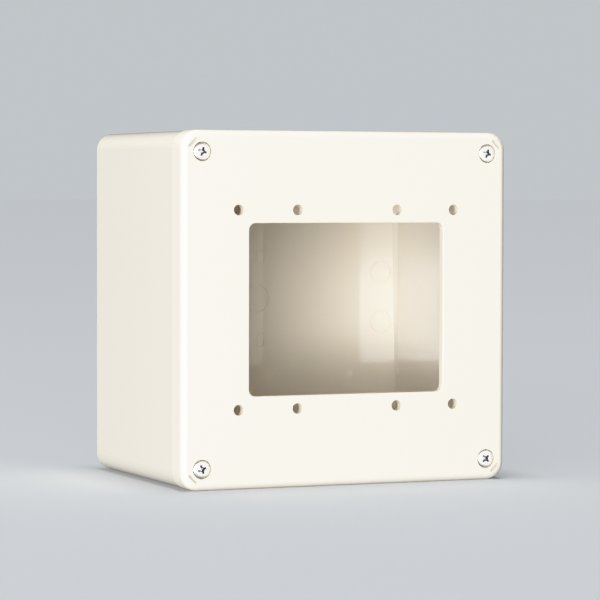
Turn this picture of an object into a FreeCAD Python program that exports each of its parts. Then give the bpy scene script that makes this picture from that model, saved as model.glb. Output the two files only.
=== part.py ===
"""Surface-mounting box with a windowed cover, for a two-gang fire alarm device.

Millimetres. The origin is the centre of the back face, which goes against the wall. +Z is up,
+Y runs into the wall, and the cover faces -Y. A depth is a distance behind the cover's front face.
"""
import FreeCAD
import Part
import math
import os

# Overall sizes
box_width = 150.0
box_height = 150.0
body_depth = 95.0
cover_depth = 12.0
corner_radius = 7.5

# Body
wall = 3.6
back_wall = 5.0
wall_draft = 0.2
back_edge_fillet = 1.0
inner_back_chamfer = 1.8
seam_fillet = 0.4
body_inset = 0.2
post_wall = 2.2
tongue_thickness = 1.3
tongue_set_in = 0.2

# Cover
cover_plate = 3.5
skirt_wall = 2.2
front_fillet = 2.75
cover_seam_fillet = 0.25
skirt_clearance = 0.3
window_width = 90.0
window_height = 72.5
window_corner_radius = 3.0
window_edge_fillet = 0.35

# Device-fixing holes
device_hole_radius = 2.25
device_hole_pitch_z = 83.5
inner_hole_pitch_x = 46.0
outer_hole_pitch_x = 99.5

# Cover screws, M4
counterbore_clearance = 0.4
counterbore_depth = 2.4
screw_hole_clearance = 0.25
head_radius = 3.7
head_below_face = 0.05
head_crown = 0.5
head_crown_power = 4
head_crown_steps = 6
thread_engagement = 5.3
thread_radius = 2.0
thread_core_radius = 1.65
thread_pitch = 0.7
release_turns = 8
recess_span = 4.3
recess_bottom_span = 1.9
recess_slot = 0.95
recess_bottom_slot = 0.7
recess_depth = 1.7
recess_core_radius = 1.0

# Guide tube under each cover screw, and the ring that keeps the screw in it
tube_bore_radius = 3.6
tube_wall = 1.0
tube_ceiling = 1.1
tube_to_tongue = 0.6
ring_clearance = 0.3
ring_thickness = 1.0
ring_play = 0.05
ring_slit = 0.8
ring_stop_gap = 0.1
ring_to_post = 0.7

# Threaded inserts
insert_wall = 0.8
insert_length = 8.0
insert_sunk = 0.1
insert_thread_clearance = 0.05
insert_groove_width = 1.2
insert_groove_depth = 0.35
tip_space_length = 3.0
tip_space_clearance = 0.3

# Gasket
gasket_thickness = 2.5
gasket_width = 1.7
gasket_gap = 0.1

# Marks: short grooves in the cover's corners, outboard of the screws
mark_length = 5.0
mark_width = 1.1
mark_depth = 0.8
mark_offset_x = 4.2
mark_offset_z = 3.9

# Knock-out outlines in the back wall
outline_depth = 0.4
outline_width = 0.7
knockouts_above_centre = 0.7
side_knockout_radius = 5.35
side_knockout_edge_distance = 12.3
side_knockout_pitch = 23.0
centre_knockout_radius = 6.5
slot_knockout_width = 3.7
slot_knockout_length = 7.0
slot_knockout_pitch = 38.0
slot_knockout_offset = 2.2

# Modelling: the shortest edge that is drawn, and how far a cutting shape runs past a face
smallest_edge = 1e-4
cut_margin = 1.0

# Places worked out from the sizes
front_y = -(body_depth + cover_depth)
seam_y = -body_depth
cavity_back_y = -back_wall
half_width = box_width / 2
half_height = box_height / 2
tube_radius = tube_bore_radius + tube_wall
ring_radius = tube_bore_radius - ring_clearance
insert_radius = thread_radius + insert_wall
post_radius = insert_radius + post_wall
tongue_inset = skirt_wall + skirt_clearance
screw_edge_distance = tongue_inset + tongue_thickness + tube_to_tongue + tube_radius
screw_x = half_width - screw_edge_distance
screw_z = half_height - screw_edge_distance
tongue_height = cover_depth - cover_plate - gasket_thickness
release_travel = release_turns * thread_pitch
tube_ceiling_depth = cover_plate + tube_ceiling
ring_depth = tube_ceiling_depth + release_travel + ring_stop_gap
post_top_depth = ring_depth + ring_thickness + ring_to_post
insert_depth = post_top_depth + insert_sunk
screw_tip_depth = insert_depth + thread_engagement

SCREWS = {
    "top_left": (-1, 1, -17.0),
    "top_right": (1, 1, -18.0),
    "bottom_left": (-1, -1, 20.0),
    "bottom_right": (1, -1, 45.0),
}


def y_at(depth):
    """Y of a point that lies depth behind the cover's front face."""
    return front_y + depth


def rounded_outline(half_x, half_z, radius, y):
    """Closed wire of a rounded rectangle across the Y axis."""
    edges = []
    last = None
    first = None
    for sign_x, sign_z, start in ((1, 1, 0), (-1, 1, 90), (-1, -1, 180), (1, -1, 270)):
        centre_x = sign_x * (half_x - radius)
        centre_z = sign_z * (half_z - radius)
        points = []
        for angle in (start, start + 45, start + 90):
            turn = math.radians(angle)
            point_x = centre_x + radius * math.cos(turn)
            point_z = centre_z + radius * math.sin(turn)
            points.append(FreeCAD.Vector(point_x, y, point_z))
        if last is None:
            first = points[0]
        elif last.distanceToPoint(points[0]) > smallest_edge:
            edges.append(Part.LineSegment(last, points[0]).toShape())
        edges.append(Part.Arc(points[0], points[1], points[2]).toShape())
        last = points[2]
    if last.distanceToPoint(first) > smallest_edge:
        edges.append(Part.LineSegment(last, first).toShape())
    return Part.Wire(edges)


def rounded_prism(half_x, half_z, radius, y0, y1):
    """Solid with a rounded rectangular outline, from y0 to y1."""
    face = Part.Face(rounded_outline(half_x, half_z, radius, y0))
    return face.extrude(FreeCAD.Vector(0, y1 - y0, 0))


def rod(x, z, radius, y0, y1):
    """Round bar along Y."""
    return Part.makeCylinder(radius, y1 - y0, FreeCAD.Vector(x, y0, z), FreeCAD.Vector(0, 1, 0))


def block(x0, x1, y0, y1, z0, z1):
    """Box between two corners."""
    return Part.makeBox(x1 - x0, y1 - y0, z1 - z0, FreeCAD.Vector(x0, y0, z0))


def slot_bar(x, z, length, width, y0, y1, angle):
    """Bar along Y with a round-ended slot outline, turned by angle from the X axis."""
    bar = rounded_prism(length / 2, width / 2, width / 2, y0, y1)
    bar.rotate(FreeCAD.Vector(0, 0, 0), FreeCAD.Vector(0, -1, 0), angle)
    bar.translate(FreeCAD.Vector(x, 0, z))
    return bar


def edges_at(shape, y):
    """Edges that lie wholly in the plane at y."""
    found = []
    for edge in shape.Edges:
        box = edge.BoundBox
        if abs(box.YMin - y) < smallest_edge and abs(box.YMax - y) < smallest_edge:
            found.append(edge)
    return found


def edges_inside(shape, y, half_x, half_z):
    """Edges in the plane at y whose whole length is within a rectangle about the Y axis."""
    found = []
    for edge in edges_at(shape, y):
        box = edge.BoundBox
        if max(-box.XMin, box.XMax) <= half_x and max(-box.ZMin, box.ZMax) <= half_z:
            found.append(edge)
    return found


def revolved(profile, x, z):
    """Solid of revolution about a line along Y, from (radius, y) points."""
    points = [FreeCAD.Vector(radius, y, 0) for radius, y in profile]
    points.append(points[0])
    face = Part.Face(Part.makePolygon(points))
    solid = face.revolve(FreeCAD.Vector(0, 0, 0), FreeCAD.Vector(0, 1, 0), 360)
    solid.translate(FreeCAD.Vector(x, 0, z))
    return solid


def cavity():
    """Hollow of the body, narrower at the back by the draft, with a bevelled back edge."""
    rim_x = half_width - body_inset - wall
    rim_z = half_height - body_inset - wall
    rim_radius = corner_radius - wall
    rim = rounded_outline(rim_x, rim_z, rim_radius, seam_y)
    back = rounded_outline(rim_x - wall_draft, rim_z - wall_draft, rim_radius, cavity_back_y)
    hollow = Part.makeLoft([rim, back], True, True)
    return hollow.makeChamfer(inner_back_chamfer, edges_at(hollow, cavity_back_y))


def corner_post(sign_x, sign_z):
    """Post in a corner of the body that carries a threaded insert under the cover's tube. Its webs
    end inside the wall, and follow the wall's rounded corner."""
    centre_x = sign_x * screw_x
    centre_z = sign_z * screw_z
    wall_x = half_width - wall / 2
    wall_z = half_height - wall / 2
    post_front = y_at(post_top_depth)
    post_back = cavity_back_y + back_wall / 2
    web_front = max(seam_y, post_front)
    post = rod(centre_x, centre_z, post_radius, post_front, post_back)
    xs = sorted((centre_x, sign_x * wall_x))
    zs = sorted((centre_z - sign_z * post_radius, sign_z * wall_z))
    post = post.fuse(block(xs[0], xs[1], web_front, post_back, zs[0], zs[1]))
    xs = sorted((centre_x - sign_x * post_radius, sign_x * wall_x))
    zs = sorted((centre_z, sign_z * wall_z))
    post = post.fuse(block(xs[0], xs[1], web_front, post_back, zs[0], zs[1]))
    return post.common(rounded_prism(wall_x, wall_z, corner_radius - wall / 2, post_front, post_back))


def insert_hole(sign_x, sign_z):
    """Blind hole in a post for the insert, with room for the screw's tip below it."""
    x = sign_x * screw_x
    z = sign_z * screw_z
    insert_end = y_at(insert_depth) + insert_length
    hole = rod(x, z, insert_radius, y_at(post_top_depth), insert_end)
    space_radius = thread_radius + tip_space_clearance
    return hole.fuse(rod(x, z, space_radius, insert_end, insert_end + tip_space_length))


def tongue():
    """Raised lip on the body's rim that enters the cover and presses on the gasket."""
    outer_x = half_width - tongue_inset
    outer_z = half_height - tongue_inset
    outer_radius = corner_radius - tongue_inset
    inner_radius = outer_radius - tongue_thickness
    y0 = seam_y - tongue_height
    y1 = seam_y + tongue_set_in
    lip = rounded_prism(outer_x, outer_z, outer_radius, y0, y1)
    inner_x = outer_x - tongue_thickness
    inner_z = outer_z - tongue_thickness
    return lip.cut(rounded_prism(inner_x, inner_z, inner_radius, y0, y1))


def ring_outline_groove(x, z, radius):
    """Thin round groove in the back wall that outlines a knock-out."""
    y1 = cavity_back_y + outline_depth
    groove = rod(x, z, radius, cavity_back_y - outline_depth, y1)
    return groove.cut(rod(x, z, radius - outline_width, cavity_back_y - outline_depth, y1))


def slot_outline_groove(x, z):
    """Thin oval groove in the back wall that outlines an upright slot knock-out."""
    y0 = cavity_back_y - outline_depth
    y1 = cavity_back_y + outline_depth
    outer = slot_bar(x, z, slot_knockout_length, slot_knockout_width, y0, y1, 90)
    inner_length = slot_knockout_length - 2 * outline_width
    inner_width = slot_knockout_width - 2 * outline_width
    return outer.cut(slot_bar(x, z, inner_length, inner_width, y0, y1, 90))


def box_body():
    """Deep moulded box that goes on the wall."""
    body_x = half_width - body_inset
    body_z = half_height - body_inset
    body = rounded_prism(body_x, body_z, corner_radius - body_inset, seam_y, 0)
    body = body.makeFillet(back_edge_fillet, edges_at(body, 0))
    body = body.makeFillet(seam_fillet, edges_at(body, seam_y))
    body = body.cut(cavity())
    body = body.fuse(tongue())
    for sign_x, sign_z, _ in SCREWS.values():
        body = body.fuse(corner_post(sign_x, sign_z))
    body = body.removeSplitter()
    for sign_x, sign_z, _ in SCREWS.values():
        body = body.cut(insert_hole(sign_x, sign_z))
    side_x = half_width - side_knockout_edge_distance
    for sign_x in (-1, 1):
        for sign_z in (-1, 1):
            z = knockouts_above_centre + sign_z * side_knockout_pitch / 2
            body = body.cut(ring_outline_groove(sign_x * side_x, z, side_knockout_radius))
    body = body.cut(ring_outline_groove(0, knockouts_above_centre, centre_knockout_radius))
    for sign_z in (-1, 1):
        z = knockouts_above_centre + sign_z * slot_knockout_pitch / 2
        body = body.cut(slot_outline_groove(slot_knockout_offset, z))
    return body


def cover_cut_outs(sign_x, sign_z):
    """Counterbore, screw hole and corner mark of one corner of the cover."""
    x = sign_x * screw_x
    z = sign_z * screw_z
    counterbore_radius = head_radius + counterbore_clearance
    screw_hole_radius = thread_radius + screw_hole_clearance
    tube_end = y_at(post_top_depth) + cut_margin
    tool = rod(x, z, counterbore_radius, front_y - cut_margin, y_at(counterbore_depth))
    tool = tool.fuse(rod(x, z, screw_hole_radius, front_y - cut_margin, y_at(tube_ceiling_depth)))
    tool = tool.fuse(rod(x, z, tube_bore_radius, y_at(tube_ceiling_depth), tube_end))
    angle = -45 * sign_x * sign_z
    mark_x = sign_x * (screw_x + mark_offset_x)
    mark_z = sign_z * (screw_z + mark_offset_z)
    mark = slot_bar(mark_x, mark_z, mark_length, mark_width, front_y - cut_margin, y_at(mark_depth), angle)
    return tool.fuse(mark)


def cover():
    """Front shell: a plate with a skirt, a window, device holes and a guide tube per screw."""
    shell = rounded_prism(half_width, half_height, corner_radius, front_y, seam_y)
    shell = shell.makeFillet(front_fillet, edges_at(shell, front_y))
    shell = shell.makeFillet(cover_seam_fillet, edges_at(shell, seam_y))
    inner_x = half_width - skirt_wall
    inner_z = half_height - skirt_wall
    inner_radius = corner_radius - skirt_wall
    shell = shell.cut(rounded_prism(inner_x, inner_z, inner_radius, y_at(cover_plate), seam_y + cut_margin))
    plate_end = y_at(cover_plate) + cut_margin
    window_x = window_width / 2
    window_z = window_height / 2
    window = rounded_prism(window_x, window_z, window_corner_radius, front_y - cut_margin, plate_end)
    shell = shell.cut(window)
    rim = edges_inside(shell, front_y, window_x + window_edge_fillet, window_z + window_edge_fillet)
    shell = shell.makeFillet(window_edge_fillet, rim)
    for pitch_x in (inner_hole_pitch_x, outer_hole_pitch_x):
        for sign_x in (-1, 1):
            for sign_z in (-1, 1):
                x = sign_x * pitch_x / 2
                z = sign_z * device_hole_pitch_z / 2
                shell = shell.cut(rod(x, z, device_hole_radius, front_y - cut_margin, plate_end))
    for sign_x, sign_z, _ in SCREWS.values():
        tube_y0 = y_at(cover_plate / 2)
        tube = rod(sign_x * screw_x, sign_z * screw_z, tube_radius, tube_y0, y_at(post_top_depth))
        shell = shell.fuse(tube)
    for sign_x, sign_z, _ in SCREWS.values():
        shell = shell.cut(cover_cut_outs(sign_x, sign_z))
    return shell.removeSplitter()


def cover_gasket():
    """Rubber strip in the cover's inside corner, pressed by the body's tongue."""
    outer_x = half_width - skirt_wall - gasket_gap
    outer_z = half_height - skirt_wall - gasket_gap
    outer_radius = corner_radius - skirt_wall - gasket_gap
    y0 = y_at(cover_plate)
    y1 = y0 + gasket_thickness
    strip = rounded_prism(outer_x, outer_z, outer_radius, y0, y1)
    inner_x = outer_x - gasket_width
    inner_z = outer_z - gasket_width
    return strip.cut(rounded_prism(inner_x, inner_z, outer_radius - gasket_width, y0, y1))


def cross_recess(x, z, head_top_y, angle):
    """Tapered cross recess, cut from the top of a screw's head."""
    tool = revolved(((0, head_top_y - cut_margin), (recess_core_radius, head_top_y - cut_margin),
                     (recess_core_radius, head_top_y), (0, head_top_y + recess_depth)), 0, 0)
    for wing_angle in (0, 90):
        outlines = []
        steps = ((recess_span, recess_slot, 0), (recess_bottom_span, recess_bottom_slot, recess_depth))
        for span, slot, depth in steps:
            half = span / 2
            corners = []
            for sign_x, sign_z in ((1, 1), (-1, 1), (-1, -1), (1, -1), (1, 1)):
                corner = FreeCAD.Vector(sign_x * half, head_top_y + depth, sign_z * slot / 2)
                corners.append(corner)
            outlines.append(Part.makePolygon(corners))
        wing = Part.makeLoft(outlines, True, True)
        wing.rotate(FreeCAD.Vector(0, 0, 0), FreeCAD.Vector(0, 1, 0), wing_angle)
        tool = tool.fuse(wing)
    tool.rotate(FreeCAD.Vector(0, 0, 0), FreeCAD.Vector(0, -1, 0), angle)
    tool.translate(FreeCAD.Vector(x, 0, z))
    return tool


def cover_screw(sign_x, sign_z, recess_angle):
    """M4 pan-head screw with a neck for its retaining ring. Thread as grooves of its pitch."""
    seat_y = y_at(counterbore_depth)
    top_y = y_at(head_below_face)
    neck_y0 = y_at(ring_depth) - ring_play
    neck_y1 = y_at(ring_depth) + ring_thickness + ring_play
    tip_y = y_at(screw_tip_depth)
    profile = []
    for step in range(head_crown_steps + 1):
        share = step / head_crown_steps
        profile.append((head_radius * share, top_y + head_crown * share ** head_crown_power))
    profile += [(head_radius, seat_y), (thread_radius, seat_y), (thread_radius, neck_y0),
                (thread_core_radius, neck_y0), (thread_core_radius, neck_y1)]
    groove_count = int((tip_y - neck_y1) / thread_pitch) - 1
    for index in range(groove_count):
        y = neck_y1 + index * thread_pitch
        profile.append((thread_radius, y + thread_pitch * 0.4))
        profile.append((thread_radius, y + thread_pitch * 0.55))
        profile.append((thread_core_radius, y + thread_pitch * 0.95))
    profile.append((thread_core_radius, tip_y))
    profile.append((0, tip_y))
    screw = revolved(profile, sign_x * screw_x, sign_z * screw_z)
    return screw.cut(cross_recess(sign_x * screw_x, sign_z * screw_z, top_y, recess_angle))


def retaining_ring(sign_x, sign_z):
    """Slit washer that snaps into the screw's neck."""
    x = sign_x * screw_x
    z = sign_z * screw_z
    y0 = y_at(ring_depth)
    y1 = y0 + ring_thickness
    ring = rod(x, z, ring_radius, y0, y1)
    ring = ring.cut(rod(x, z, thread_core_radius + ring_play, y0, y1))
    slit_x = sorted((x, x - sign_x * (ring_radius + cut_margin)))
    slit = block(slit_x[0], slit_x[1], y0, y1, z - ring_slit / 2, z + ring_slit / 2)
    return ring.cut(slit)


def threaded_insert(sign_x, sign_z):
    """Brass insert pressed into a post. Its thread is a plain bore."""
    x = sign_x * screw_x
    z = sign_z * screw_z
    y0 = y_at(insert_depth)
    y1 = y0 + insert_length
    insert = rod(x, z, insert_radius, y0, y1)
    middle = (y0 + y1) / 2
    groove_y0 = middle - insert_groove_width / 2
    groove_y1 = middle + insert_groove_width / 2
    groove = rod(x, z, insert_radius + cut_margin, groove_y0, groove_y1)
    groove = groove.cut(rod(x, z, insert_radius - insert_groove_depth, groove_y0, groove_y1))
    insert = insert.cut(groove)
    return insert.cut(rod(x, z, thread_radius + insert_thread_clearance, y0, y1))


def export(node, shape):
    """Writes one node as a STEP file, after checking that it is one valid solid."""
    if len(shape.Solids) != 1 or not shape.isValid():
        raise ValueError(node + " is not one valid solid")
    shape.Solids[0].exportStep("parts/" + node + ".step")


def main():
    os.makedirs("parts", exist_ok=True)
    export("box_body", box_body())
    export("cover", cover())
    export("cover_gasket", cover_gasket())
    for place, (sign_x, sign_z, recess_angle) in SCREWS.items():
        export("cover_screw_" + place, cover_screw(sign_x, sign_z, recess_angle))
        export("retaining_ring_" + place, retaining_ring(sign_x, sign_z))
        export("threaded_insert_" + place, threaded_insert(sign_x, sign_z))


main()
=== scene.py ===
"""Looks for the ivory surface box with its windowed cover: finishes, small metal pieces, studio."""
import math

import bmesh
import bpy
from mathutils import Matrix, Vector


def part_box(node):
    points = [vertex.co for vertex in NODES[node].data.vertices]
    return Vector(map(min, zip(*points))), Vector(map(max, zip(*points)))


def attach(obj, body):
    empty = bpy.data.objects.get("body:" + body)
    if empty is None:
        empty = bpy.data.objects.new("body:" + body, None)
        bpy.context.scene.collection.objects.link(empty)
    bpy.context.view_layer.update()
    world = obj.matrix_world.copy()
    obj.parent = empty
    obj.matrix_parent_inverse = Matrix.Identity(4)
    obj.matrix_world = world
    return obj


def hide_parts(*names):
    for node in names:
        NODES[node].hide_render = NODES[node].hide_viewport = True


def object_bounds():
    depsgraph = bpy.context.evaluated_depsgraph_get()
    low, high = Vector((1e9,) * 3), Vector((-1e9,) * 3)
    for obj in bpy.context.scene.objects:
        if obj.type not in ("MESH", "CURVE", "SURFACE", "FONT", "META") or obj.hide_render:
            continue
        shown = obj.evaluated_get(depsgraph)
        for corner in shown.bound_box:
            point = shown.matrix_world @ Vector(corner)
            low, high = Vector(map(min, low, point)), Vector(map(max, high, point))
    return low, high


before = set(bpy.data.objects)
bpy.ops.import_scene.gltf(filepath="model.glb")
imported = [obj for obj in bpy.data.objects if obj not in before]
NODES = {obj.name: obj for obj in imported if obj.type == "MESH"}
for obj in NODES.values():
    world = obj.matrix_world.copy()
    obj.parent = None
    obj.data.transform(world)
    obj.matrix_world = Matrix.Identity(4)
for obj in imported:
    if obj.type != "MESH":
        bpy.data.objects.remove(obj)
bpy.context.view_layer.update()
MM = 0.001
CORNERS = ("top_left", "top_right", "bottom_left", "bottom_right")
# Face attribute that marks where the screws' cross recesses get painted shade.
RECESS_SHADE_MARK = "painted_recess_shade"
GROOVE_DEPTH = 0.8
GROOVE_SLACK = 0.3
FACES_FORWARD = -0.95

# ---------------------------------------------------------------- camera
FRONT_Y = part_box("cover")[0].y
CAMERA_YAW = 23.425
CAMERA_PITCH = 2.191
CAMERA_ROLL = 0.136
CAMERA_DISTANCE = 1.2176
CAMERA_AIM = Vector((-0.02196, FRONT_Y, 0.00391))
CAMERA_LENS = 173.8
SENSOR_WIDTH = 36.0


def camera_forward():
    yaw = math.radians(CAMERA_YAW)
    pitch = math.radians(CAMERA_PITCH)
    level = math.cos(pitch)
    return Vector((math.sin(yaw) * level, math.cos(yaw) * level, -math.sin(pitch)))


def add_camera():
    """A long lens from the front left, a little above the box's middle."""
    forward = camera_forward()
    data = bpy.data.cameras.new("studio_camera")
    data.lens = CAMERA_LENS
    data.sensor_width = SENSOR_WIDTH
    camera = bpy.data.objects.new("studio_camera", data)
    roll = Matrix.Rotation(math.radians(CAMERA_ROLL), 3, "Z")
    turn = forward.to_track_quat("-Z", "Y").to_matrix() @ roll
    camera.matrix_world = Matrix.Translation(CAMERA_AIM - forward * CAMERA_DISTANCE) @ turn.to_4x4()
    bpy.context.scene.collection.objects.link(camera)
    bpy.context.scene.camera = camera


# ---------------------------------------------------------------- material tools
def linear(hex_colour):
    """sRGB hex to the linear colour that a shader socket takes."""
    channels = [int(hex_colour[i:i + 2], 16) / 255 for i in (1, 3, 5)]
    return [c / 12.92 if c <= 0.04045 else ((c + 0.055) / 1.055) ** 2.4 for c in channels] + [1.0]


def new_material(name):
    """A material, its node tree and its Principled shader."""
    material = bpy.data.materials.new(name)
    material.use_nodes = True
    return material, material.node_tree, material.node_tree.nodes["Principled BSDF"]


def add_node(tree, kind, settings=None, links=None):
    """Adds a node. Settings are input values or node properties, and links feed its inputs. The
    properties are set first, because some of them decide which inputs there are."""
    node = tree.nodes.new(kind)
    for key, value in (settings or {}).items():
        if isinstance(key, str) and key not in node.inputs:
            setattr(node, key, value)
    for key, value in (settings or {}).items():
        if not isinstance(key, str) or key in node.inputs:
            node.inputs[key].default_value = value
    for key, source in (links or {}).items():
        tree.links.new(source, node.inputs[key])
    return node


def per_mm(size):
    """Scale of a pattern on Object coordinates whose features are this many millimetres apart."""
    return 1 / (size * MM)


def object_place(tree):
    return add_node(tree, "ShaderNodeTexCoord").outputs["Object"]


def two_tone(tree, fac, dark, light):
    """Colour that runs between two tones."""
    tone = add_node(tree, "ShaderNodeMix", {"data_type": "RGBA", 6: linear(dark), 7: linear(light)}, {0: fac})
    return tone.outputs[2]


def spread(tree, fac, low, high):
    """A 0 to 1 pattern stretched to run from low to high."""
    node = add_node(tree, "ShaderNodeMapRange", {"To Min": low, "To Max": high}, {"Value": fac})
    return node.outputs["Result"]


def set_values(shader, **values):
    for key, value in values.items():
        shader.inputs[key.replace("_", " ")].default_value = value


# ---------------------------------------------------------------- finishes
def groove_floor(tree):
    """1 on faces that look forward from just behind the front face, which are the floors of the short grooves
    in the cover's corners that get painted shade, and 0 elsewhere."""
    coordinates = add_node(tree, "ShaderNodeTexCoord")
    place = add_node(tree, "ShaderNodeSeparateXYZ", links={0: coordinates.outputs["Object"]})
    facing = add_node(tree, "ShaderNodeSeparateXYZ", links={0: coordinates.outputs["Normal"]})
    floor_y = FRONT_Y + GROOVE_DEPTH * MM
    at_depth = add_node(tree, "ShaderNodeMath", {"operation": "COMPARE", 1: floor_y, 2: GROOVE_SLACK * MM},
                        {0: place.outputs["Y"]})
    looks_forward = add_node(tree, "ShaderNodeMath", {"operation": "LESS_THAN", 1: FACES_FORWARD},
                             {0: facing.outputs["Y"]})
    both = add_node(tree, "ShaderNodeMath", {"operation": "MULTIPLY"},
                    {0: at_depth.outputs[0], 1: looks_forward.outputs[0]})
    return both.outputs[0]


def ivory_pvc(name, smoothest, dullest, peel_strength):
    """Rigid PVC, injection moulded: a warm, nearly even ivory under a clear skin. The melt's flow
    leaves broad, faint tone changes, and pigment shows as a fine fleck. The skin copies its mould:
    glossy where that was polished, satin where it was blasted, with a shallow peel about 3 mm across.
    Painted shade greys the floors of the corner grooves, where shade falls."""
    material, tree, shader = new_material(name)
    place = object_place(tree)
    flow = add_node(tree, "ShaderNodeTexNoise", {"Scale": per_mm(70), "Detail": 2.0}, {"Vector": place})
    fleck = add_node(tree, "ShaderNodeTexNoise", {"Scale": per_mm(0.7), "Detail": 1.0}, {"Vector": place})
    broad = two_tone(tree, flow.outputs["Fac"], "#ECE2CF", "#EEE4D1")
    fine = add_node(tree, "ShaderNodeMix",
                    {"data_type": "RGBA", "blend_type": "MULTIPLY", 0: 1.0},
                    {6: broad, 7: two_tone(tree, fleck.outputs["Fac"], "#FBFAF8", "#FFFFFF")})
    # Painted shade: the groove floors are multiplied by a pale grey that stands in for the shade in the
    # grooves.
    groove_floor_shade = add_node(tree, "ShaderNodeMix", {"data_type": "RGBA", "blend_type": "MULTIPLY"},
                     {0: groove_floor(tree), 6: fine.outputs[2],
                      7: two_tone(tree, fleck.outputs["Fac"], "#D4D9D9", "#E0E4E4")})
    tree.links.new(groove_floor_shade.outputs[2], shader.inputs["Base Color"])
    haze = add_node(tree, "ShaderNodeTexNoise", {"Scale": per_mm(18), "Detail": 3.0}, {"Vector": place})
    tree.links.new(spread(tree, haze.outputs["Fac"], smoothest, dullest), shader.inputs["Roughness"])
    peel = add_node(tree, "ShaderNodeTexNoise", {"Scale": per_mm(3), "Detail": 1.0}, {"Vector": place})
    bump = add_node(tree, "ShaderNodeBump", {"Strength": peel_strength, "Distance": 0.1 * MM},
                    {"Height": peel.outputs["Fac"]})
    tree.links.new(bump.outputs["Normal"], shader.inputs["Normal"])
    set_values(shader, IOR=1.53)
    return material


def sponge_rubber():
    """Closed-cell EPDM sponge strip: near-black, dull, with fine broken cells at its skin.
    Real cells are about 0.1 mm; they are drawn at 0.35 mm so that they show."""
    material, tree, shader = new_material("epdm_sponge_rubber")
    place = object_place(tree)
    cells = add_node(tree, "ShaderNodeTexVoronoi", {"Scale": per_mm(0.35)}, {"Vector": place})
    bloom = add_node(tree, "ShaderNodeTexNoise", {"Scale": per_mm(9), "Detail": 3.0}, {"Vector": place})
    colour = two_tone(tree, bloom.outputs["Fac"], "#232323", "#37363A")
    tree.links.new(colour, shader.inputs["Base Color"])
    bump = add_node(tree, "ShaderNodeBump", {"Strength": 0.5, "Distance": 0.08 * MM},
                    {"Height": cells.outputs["Distance"]})
    tree.links.new(bump.outputs["Normal"], shader.inputs["Normal"])
    set_values(shader, Roughness=0.82, IOR=1.5)
    return material


def zinc_plated_steel():
    """Cold-headed steel, bright zinc plated and clear passivated: pale silver with a soft, slightly cloudy
    shine. The cross recess is painted a dull dark grey, as painted shade for the dark inside of the recess."""
    material, tree, shader = new_material("zinc_plated_steel")
    place = object_place(tree)
    cloud = add_node(tree, "ShaderNodeTexNoise", {"Scale": per_mm(2.2), "Detail": 4.0}, {"Vector": place})
    grain = add_node(tree, "ShaderNodeTexNoise", {"Scale": per_mm(0.25), "Detail": 2.0}, {"Vector": place})
    recess = add_node(tree, "ShaderNodeAttribute", {"attribute_name": RECESS_SHADE_MARK}).outputs["Fac"]
    plating = two_tone(tree, cloud.outputs["Fac"], "#E8E6E2", "#F8F7F4")
    # Painted shade: a dark grey laid into the cross recess where shade falls.
    recess_shade_tone = two_tone(tree, grain.outputs["Fac"], "#75726E", "#A6A39F")
    plating_and_recess_shade = add_node(tree, "ShaderNodeMix", {"data_type": "RGBA"}, {0: recess, 6: plating, 7: recess_shade_tone})
    tree.links.new(plating_and_recess_shade.outputs[2], shader.inputs["Base Color"])
    tree.links.new(spread(tree, cloud.outputs["Fac"], 0.2, 0.34), shader.inputs["Roughness"])
    bump = add_node(tree, "ShaderNodeBump", {"Strength": 0.12, "Distance": 0.03 * MM},
                    {"Height": grain.outputs["Fac"]})
    tree.links.new(bump.outputs["Normal"], shader.inputs["Normal"])
    set_values(shader, Metallic=1.0)
    return material


def turned_brass():
    """Free-cutting brass turned on a lathe: warm yellow with tool rings every 0.15 mm along its axis,
    and a little brown tarnish in patches."""
    material, tree, shader = new_material("turned_brass")
    place = object_place(tree)
    rings = add_node(tree, "ShaderNodeTexWave",
                     {"wave_type": "BANDS", "bands_direction": "Y", "Scale": per_mm(0.15) / 20,
                      "Distortion": 0.3},
                     {"Vector": place})
    tarnish = add_node(tree, "ShaderNodeTexNoise", {"Scale": per_mm(3), "Detail": 4.0}, {"Vector": place})
    colour = two_tone(tree, tarnish.outputs["Fac"], "#B98F45", "#DDB768")
    tree.links.new(colour, shader.inputs["Base Color"])
    tree.links.new(spread(tree, tarnish.outputs["Fac"], 0.34, 0.2), shader.inputs["Roughness"])
    bump = add_node(tree, "ShaderNodeBump", {"Strength": 0.3, "Distance": 0.02 * MM},
                    {"Height": rings.outputs["Fac"]})
    tree.links.new(bump.outputs["Normal"], shader.inputs["Normal"])
    set_values(shader, Metallic=1.0)
    return material


def natural_nylon():
    """Unpigmented nylon 66, punched from sheet: milky, slightly see-through, with a satin skin."""
    material, tree, shader = new_material("natural_nylon")
    place = object_place(tree)
    milk = add_node(tree, "ShaderNodeTexNoise", {"Scale": per_mm(1.5), "Detail": 3.0}, {"Vector": place})
    colour = two_tone(tree, milk.outputs["Fac"], "#E2DCCB", "#EFEBDF")
    tree.links.new(colour, shader.inputs["Base Color"])
    tree.links.new(spread(tree, milk.outputs["Fac"], 0.36, 0.48), shader.inputs["Roughness"])
    set_values(shader, IOR=1.53, Subsurface_Weight=0.25, Subsurface_Scale=0.6 * MM)
    return material


def studio_paper():
    """Plain pale background paper, matt, with a faint fibre."""
    material, tree, shader = new_material("pale_studio_paper")
    place = object_place(tree)
    fibre = add_node(tree, "ShaderNodeTexNoise", {"Scale": per_mm(2), "Detail": 4.0}, {"Vector": place})
    colour = two_tone(tree, fibre.outputs["Fac"], "#C9CCCF", "#CCCFD2")
    tree.links.new(colour, shader.inputs["Base Color"])
    set_values(shader, Roughness=0.95, Specular_IOR_Level=0.1)
    return material


def give(piece, material):
    piece.data.materials.clear()
    piece.data.materials.append(material)


# ---------------------------------------------------------------- modelling tools
SHARP_ANGLE = 35


def clear_selection():
    if bpy.context.object and bpy.context.object.mode != "OBJECT":
        bpy.ops.object.mode_set(mode="OBJECT")
    bpy.ops.object.select_all(action="DESELECT")


def select_only(piece):
    clear_selection()
    piece.select_set(True)
    bpy.context.view_layer.objects.active = piece


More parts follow.
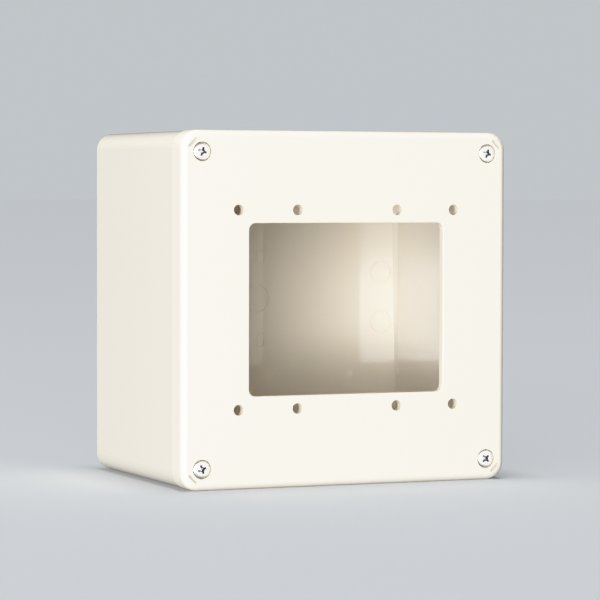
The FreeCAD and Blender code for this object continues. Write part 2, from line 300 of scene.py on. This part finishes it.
def edit(piece):
    """Opens one piece in edit mode with nothing selected, in face mode."""
    select_only(piece)
    bpy.ops.object.mode_set(mode="EDIT")
    bpy.ops.mesh.select_mode(type="FACE")
    bpy.ops.mesh.select_all(action="DESELECT")


def pick_faces(piece, wanted):
    """Selects the faces whose centre and normal are wanted, and no others."""
    mesh = bmesh.from_edit_mesh(piece.data)
    for face in mesh.faces:
        face.select_set(wanted(face.calc_center_median(), face.normal))
    bmesh.update_edit_mesh(piece.data)


def leave_edit():
    bpy.ops.object.mode_set(mode="OBJECT")


def apply_modifier(piece, kind, **settings):
    select_only(piece)
    modifier = piece.modifiers.new(kind.lower(), kind)
    for key, value in settings.items():
        setattr(modifier, key, value)
    bpy.ops.object.modifier_apply(modifier=modifier.name)


def round_edges(piece, width, segments=3):
    """Rounds every edge sharper than SHARP_ANGLE degrees."""
    apply_modifier(piece, "BEVEL", width=width, segments=segments, limit_method="ANGLE",
                   angle_limit=math.radians(SHARP_ANGLE))


def smooth(piece, angle=SHARP_ANGLE):
    select_only(piece)
    bpy.ops.object.shade_smooth_by_angle(angle=math.radians(angle))


def join(main, *others):
    select_only(main)
    for piece in others:
        piece.select_set(True)
    bpy.ops.object.join()
    return main


def cylinder(radius, low, high, vertices=64):
    """Round bar along Z from low to high."""
    clear_selection()
    bpy.ops.mesh.primitive_cylinder_add(vertices=vertices, radius=radius, depth=high - low,
                                        location=(0, 0, (low + high) / 2))
    bpy.ops.object.transform_apply(location=True, rotation=True, scale=True)
    return bpy.context.object


def copy_piece(piece, name):
    copy = piece.copy()
    copy.data = piece.data.copy()
    copy.name = name
    bpy.context.scene.collection.objects.link(copy)
    return copy


def seat_piece(piece, node, turn=0.0):
    """Moves a piece that was modelled in millimetres, facing +Z with its front at Z zero,
    to a node's place, facing -Y."""
    low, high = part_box(node)
    place = Matrix.Translation(((low.x + high.x) / 2, low.y, (low.z + high.z) / 2))
    face_out = Matrix.Rotation(math.radians(90), 4, "X")
    spin = Matrix.Rotation(math.radians(turn), 4, "Z")
    piece.data.transform(place @ face_out @ spin @ Matrix.Scale(MM, 4))
    piece.data.update()


def stand_for(piece, node, body, material):
    """The piece takes the node's place, motion and finish."""
    piece.name = node + "_piece"
    give(piece, material)
    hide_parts(node)
    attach(piece, body)


# ---------------------------------------------------------------- cover screws
HEAD_RADIUS = 3.7
HEAD_HEIGHT = 2.35
HEAD_CROWN = 0.5
CROWN_INSETS = (0.25, 0.35, 0.45, 0.55, 0.6, 0.6)
HEAD_ROUND = 0.22
SHANK_RADIUS = 2.0
CORE_RADIUS = 1.65
NECK_START = 10.2
NECK_LENGTH = 1.1
TIP = 17.35
TIP_CONE = 0.5
TIP_TAPER = 0.7
CORE_LENGTH = TIP - TIP_CONE - NECK_START - NECK_LENGTH
THREAD_PITCH = 0.7
RIDGE_ROOT_SINK = 0.15
RIDGE_CREST_GAP = 0.01
RIDGE_ROOT_SPAN = (0.02, 0.62)
RIDGE_CREST_SPAN = (0.25, 0.39)
RECESS_SPAN = 4.3
RECESS_SLOT = 0.95
RECESS_DEPTH = 1.7
RECESS_BOTTOM_SPAN = 1.9
RECESS_BOTTOM_SLOT = 0.7
RECESS_ROUND = 0.14
RECESS_CONE_RADII = (0.35, 1.25)
WING_OVERCUT = 0.4
CONE_OVERCUT = 0.3
# Radius of the recess middle that is left out of the painted shade.
RECESS_UNSHADED_RADIUS = 0.45
MARK_REACH = RECESS_SPAN / 2 + 0.1
MARK_LEVELS = (0.08, RECESS_DEPTH + 0.2)
RECESS_TURN = {"top_left": -17, "top_right": -18, "bottom_left": 20, "bottom_right": 45}


def screw_blank():
    """Head with a crowned top, plain shank, ring neck and threaded core."""
    blank = cylinder(HEAD_RADIUS, -HEAD_HEIGHT, -HEAD_CROWN)
    edit(blank)
    pick_faces(blank, lambda centre, normal: normal.z > 0.9)
    radius = HEAD_RADIUS
    height = -HEAD_CROWN
    for inset in CROWN_INSETS:
        radius -= inset
        crown = -HEAD_CROWN * (radius / HEAD_RADIUS) ** 4
        bpy.ops.mesh.inset(thickness=inset)
        bpy.ops.transform.translate(value=(0, 0, crown - height))
        height = crown
    leave_edit()
    edit(blank)
    pick_faces(blank, lambda centre, normal: normal.z < -0.9)
    steps = ((HEAD_RADIUS - SHANK_RADIUS, NECK_START - HEAD_HEIGHT),
             (SHANK_RADIUS - CORE_RADIUS, NECK_LENGTH))
    for inset, length in steps:
        bpy.ops.mesh.inset(thickness=inset)
        bpy.ops.mesh.extrude_region_move(TRANSFORM_OT_translate={"value": (0, 0, -length)})
    for length in (CORE_LENGTH, TIP_CONE):
        bpy.ops.mesh.extrude_region_move(TRANSFORM_OT_translate={"value": (0, 0, -length)})
    bpy.ops.transform.resize(value=(TIP_TAPER, TIP_TAPER, 1.0))
    leave_edit()
    round_edges(blank, HEAD_ROUND)
    return blank


def thread_ridge():
    """One thread's ridge as a helix of the real pitch, its root sunk in the core."""
    clear_selection()
    bpy.ops.mesh.primitive_plane_add(size=1.0)
    ridge = bpy.context.object
    root = CORE_RADIUS - RIDGE_ROOT_SINK
    crest = SHANK_RADIUS - RIDGE_CREST_GAP
    profile = ((root, RIDGE_ROOT_SPAN[0]), (root, RIDGE_ROOT_SPAN[1]),
               (crest, RIDGE_CREST_SPAN[1]), (crest, RIDGE_CREST_SPAN[0]))
    start = -TIP + TIP_CONE
    for vertex, (radius, height) in zip((0, 2, 3, 1), profile):
        ridge.data.vertices[vertex].co = (radius, 0, start + height)
    turns = int(CORE_LENGTH / THREAD_PITCH)
    apply_modifier(ridge, "SCREW", axis="Z", angle=math.radians(360), screw_offset=THREAD_PITCH,
                   iterations=turns, steps=32, render_steps=32, use_merge_vertices=True,
                   merge_threshold=0.001)
    edit(ridge)
    bpy.ops.mesh.select_mode(type="EDGE")
    bpy.ops.mesh.select_non_manifold()
    bpy.ops.mesh.fill_holes(sides=0)
    bpy.ops.mesh.select_all(action="SELECT")
    bpy.ops.mesh.normals_make_consistent(inside=False)
    leave_edit()
    return ridge


def recess_wing(turn):
    """One tapered bar of the cross recess."""
    clear_selection()
    bpy.ops.mesh.primitive_cube_add(size=1.0, location=(0, 0, (WING_OVERCUT - RECESS_DEPTH) / 2))
    wing = bpy.context.object
    wing.scale = (RECESS_SPAN, RECESS_SLOT, WING_OVERCUT + RECESS_DEPTH)
    bpy.ops.object.transform_apply(location=True, rotation=True, scale=True)
    edit(wing)
    pick_faces(wing, lambda centre, normal: normal.z < -0.9)
    bpy.ops.transform.resize(value=(RECESS_BOTTOM_SPAN / RECESS_SPAN, RECESS_BOTTOM_SLOT / RECESS_SLOT, 1))
    leave_edit()
    round_edges(wing, RECESS_ROUND, 2)
    wing.data.transform(Matrix.Rotation(math.radians(turn), 4, "Z"))
    return wing


def cut_recess(blank):
    """Cuts the cross and its tapered middle out of the head."""
    clear_selection()
    bottom, top = RECESS_CONE_RADII
    bpy.ops.mesh.primitive_cone_add(vertices=32, radius1=bottom, radius2=top,
                                    depth=RECESS_DEPTH + CONE_OVERCUT,
                                    location=(0, 0, (CONE_OVERCUT - RECESS_DEPTH) / 2))
    bpy.ops.object.transform_apply(location=True, rotation=True, scale=True)
    cutters = [bpy.context.object, recess_wing(0), recess_wing(90)]
    for cutter in cutters:
        apply_modifier(blank, "BOOLEAN", operation="DIFFERENCE", object=cutter, solver="EXACT")
    for cutter in cutters:
        bpy.data.objects.remove(cutter)


def mark_recess_shade(screw):
    """Notes which faces lie in the recess, outside its middle, for the finish to darken with painted shade.
    """
    marks = screw.data.attributes.new(RECESS_SHADE_MARK, "FLOAT", "FACE")
    top, bottom = MARK_LEVELS
    for face, mark in zip(screw.data.polygons, marks.data):
        reach = face.center.xy.length
        below_crown = -HEAD_CROWN * (reach / HEAD_RADIUS) ** 4 - face.center.z
        is_inside = RECESS_UNSHADED_RADIUS < reach < MARK_REACH and top < below_crown < bottom
        mark.value = 1.0 if is_inside else 0.0


def add_cover_screws(steel):
    """Four M4 pan-head screws, alike but for how far each was turned home."""
    blank = screw_blank()
    cut_recess(blank)
    screw = join(blank, thread_ridge())
    mark_recess_shade(screw)
    smooth(screw)
    for corner in CORNERS:
        node = "cover_screw_" + corner
        piece = copy_piece(screw, node)
        seat_piece(piece, node, RECESS_TURN[corner])
        stand_for(piece, node, "screw_" + corner, steel)
    bpy.data.objects.remove(screw)


# ---------------------------------------------------------------- threaded inserts
INSERT_RADIUS = 2.79
INSERT_BORE = 2.05
INSERT_LENGTH = 8.0
KNURL_COUNT = 48
KNURL_DEPTH = 0.14
INSERT_GROOVE_WIDTH = 1.2
INSERT_GROOVE_DEPTH = 0.35
INSERT_CHAMFER = 0.2
KNURL_INSET = 0.03


def add_threaded_inserts(brass):
    """Brass press-in inserts: two knurled bands, a plain groove between them, a chamfered bore."""
    insert = cylinder(INSERT_RADIUS, -INSERT_LENGTH, 0, KNURL_COUNT * 2)
    middle = -INSERT_LENGTH / 2
    groove = INSERT_GROOVE_WIDTH / 2
    edit(insert)
    for level in (middle - groove, middle + groove):
        bpy.ops.mesh.select_all(action="SELECT")
        bpy.ops.mesh.bisect(plane_co=(0, 0, level), plane_no=(0, 0, 1))
    bpy.ops.mesh.select_mode(type="FACE")
    pick_faces(insert, lambda centre, normal: abs(normal.z) < 0.1 and abs(centre.z - middle) < groove / 2)
    bpy.ops.mesh.extrude_region_shrink_fatten(TRANSFORM_OT_shrink_fatten={"value": -INSERT_GROOVE_DEPTH})
    step = math.pi / KNURL_COUNT

    def is_knurl_gap(centre, normal):
        is_outside = abs(normal.z) < 0.1 and centre.xy.length > INSERT_BORE
        is_every_other = int(math.floor(math.atan2(centre.y, centre.x) / step)) % 2 == 0
        return is_outside and abs(centre.z - middle) > 2 * groove and is_every_other

    pick_faces(insert, is_knurl_gap)
    bpy.ops.mesh.inset(thickness=KNURL_INSET, depth=-KNURL_DEPTH, use_individual=True)
    end = INSERT_LENGTH / 2 - INSERT_CHAMFER / 2
    for side in (1, -1):
        pick_faces(insert, lambda centre, normal: normal.z * side > 0.9 and abs(centre.z - middle) > end)
        bpy.ops.mesh.inset(thickness=INSERT_RADIUS - INSERT_BORE - INSERT_CHAMFER)
        bpy.ops.mesh.inset(thickness=INSERT_CHAMFER, depth=-INSERT_CHAMFER)
    pick_faces(insert, lambda centre, normal: abs(normal.z) > 0.9 and centre.xy.length < INSERT_BORE / 4)
    bpy.ops.mesh.bridge_edge_loops()
    leave_edit()
    smooth(insert, 25)
    for corner in CORNERS:
        node = "threaded_insert_" + corner
        piece = copy_piece(insert, node)
        seat_piece(piece, node)
        stand_for(piece, node, "box", brass)
    bpy.data.objects.remove(insert)


# ---------------------------------------------------------------- gasket and rings
GASKET_ROUND = 0.4
RING_ROUND = 0.12


def soft_edged_copy(node, edge_round, segments=3):
    """A copy of a node's shape, free of the node's own motion and marks, with its edges rounded."""
    piece = copy_piece(NODES[node], node)
    piece.parent = None
    for key in list(piece.keys()):
        del piece[key]
    edit(piece)
    bpy.ops.mesh.select_all(action="SELECT")
    bpy.ops.mesh.remove_doubles(threshold=0.00001)
    bpy.ops.mesh.customdata_custom_splitnormals_clear()
    bpy.ops.mesh.dissolve_limited(angle_limit=math.radians(1))
    leave_edit()
    round_edges(piece, edge_round, segments)
    smooth(piece)
    return piece


def add_gasket(rubber):
    """Sponge strip, a little rounded where its cut edges have relaxed."""
    piece = soft_edged_copy("cover_gasket", GASKET_ROUND * MM)
    stand_for(piece, "cover_gasket", "front_cover", rubber)


def add_retaining_rings(nylon):
    """Punched nylon washers with their edges just broken."""
    for corner in CORNERS:
        node = "retaining_ring_" + corner
        piece = soft_edged_copy(node, RING_ROUND * MM, 2)
        stand_for(piece, node, "ring_" + corner, nylon)


# ---------------------------------------------------------------- studio
PALE = "#C4C9CC"
COOL_WHITE = (0.90, 0.93, 1.0)
SKY_WHITE = (0.88, 0.92, 1.0)
NEUTRAL_WHITE = (1.0, 0.99, 0.97)
AIR_LIGHT = 0.37
AIR_LOOK = 0.95
FLOOR_SIZE = 60.0
HIGH_LIGHT_STRENGTH = 2.15
HIGH_LIGHT_ANGLE = 20
BRIGHTEST = 1.6
SHOULDER = ((0.4, 0.4), (0.8, 0.79), (1.0, 0.92), (1.25, 0.975))


def around_box(azimuth, elevation, distance):
    """A point seen from the box at an angle left of straight out, and above level."""
    rise = math.radians(elevation)
    turn = math.radians(azimuth)
    level = distance * math.cos(rise)
    return Vector((-level * math.sin(turn), FRONT_Y - level * math.cos(turn), distance * math.sin(rise)))


def add_light(name, kind, position, target, power, **settings):
    data = bpy.data.lights.new(name, kind)
    data.energy = power
    for key, value in settings.items():
        setattr(data, key, value)
    light = bpy.data.objects.new(name, data)
    turn = (Vector(target) - Vector(position)).to_track_quat("-Z", "Y").to_matrix()
    light.matrix_world = Matrix.Translation(position) @ turn.to_4x4()
    light.visible_camera = False
    bpy.context.scene.collection.objects.link(light)
    return light


def add_softbox(name, azimuths, elevations, distance, radiance, colour=COOL_WHITE):
    """A flat soft light that faces the box and fills a range of angles round it. Its power follows
    from its size and how bright it looks."""
    width = 2 * distance * math.tan(math.radians((azimuths[1] - azimuths[0]) / 2))
    height = 2 * distance * math.tan(math.radians((elevations[1] - elevations[0]) / 2))
    place = around_box(sum(azimuths) / 2, sum(elevations) / 2, distance)
    return add_light(name, "AREA", place, (0, FRONT_Y, 0), radiance * math.pi * width * height,
                     shape="RECTANGLE", size=width, size_y=height, color=colour)


def add_floor():
    """A wide plain floor at the box's lowest point. It neither shades nor colours the box."""
    clear_selection()
    bpy.ops.mesh.primitive_plane_add(size=FLOOR_SIZE, location=(0, 0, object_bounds()[0].z))
    floor = bpy.context.object
    floor.name = "studio_floor"
    floor.visible_shadow = False
    floor.visible_glossy = False
    floor.visible_diffuse = False
    give(floor, studio_paper())


def add_air():
    """A pale surround that lights the box at about two fifths of how bright it looks."""
    world = bpy.data.worlds.new("studio_air")
    world.use_nodes = True
    tree = world.node_tree
    path = add_node(tree, "ShaderNodeLightPath")
    strength = spread(tree, path.outputs["Is Camera Ray"], AIR_LIGHT, AIR_LOOK)
    background = tree.nodes["Background"]
    background.inputs["Color"].default_value = linear(PALE)
    tree.links.new(strength, background.inputs["Strength"])
    bpy.context.scene.world = world


def add_lights():
    """A bright key left of and below the lens with a dimmer light above it, a side light for the
    left wall, a high light for the floor, and a card that only shines in glossy surfaces."""
    add_softbox("key_softbox", (21, 54), (-12, -1.2), 5.0, 24)
    add_softbox("upper_softbox", (12, 62), (-1.2, 16), 5.0, 7.0)
    add_softbox("side_softbox", (66, 94), (-14, 14), 2.0, 4.2, SKY_WHITE)
    card = add_softbox("reflection_card", (-62, 10), (-35, 35), 2.5, 1.0, NEUTRAL_WHITE)
    card.visible_diffuse = False
    add_light("high_light", "SUN", (0, 0, 3), (0, 0, 0), HIGH_LIGHT_STRENGTH,
              angle=math.radians(HIGH_LIGHT_ANGLE))


def soften_highlights():
    """Rolls the brightest tones off gently instead of cutting them at white."""
    view = bpy.context.scene.view_settings
    view.view_transform = "Standard"
    view.use_curve_mapping = True
    view.curve_mapping.white_level = [BRIGHTEST] * 3
    tones = view.curve_mapping.curves[3]
    for scene_tone, shown_tone in SHOULDER:
        tones.points.new(scene_tone / BRIGHTEST, shown_tone)
    view.curve_mapping.update()


add_camera()
soften_highlights()
add_floor()
add_air()
add_lights()

gloss_pvc = ivory_pvc("polished_ivory_pvc", 0.025, 0.05, 0.015)
satin_pvc = ivory_pvc("satin_ivory_pvc", 0.42, 0.5, 0.03)
rubber = sponge_rubber()
steel = zinc_plated_steel()
brass = turned_brass()
nylon = natural_nylon()
give(NODES["box_body"], gloss_pvc)
give(NODES["cover"], satin_pvc)
add_gasket(rubber)
add_retaining_rings(nylon)
add_cover_screws(steel)
add_threaded_inserts(brass)
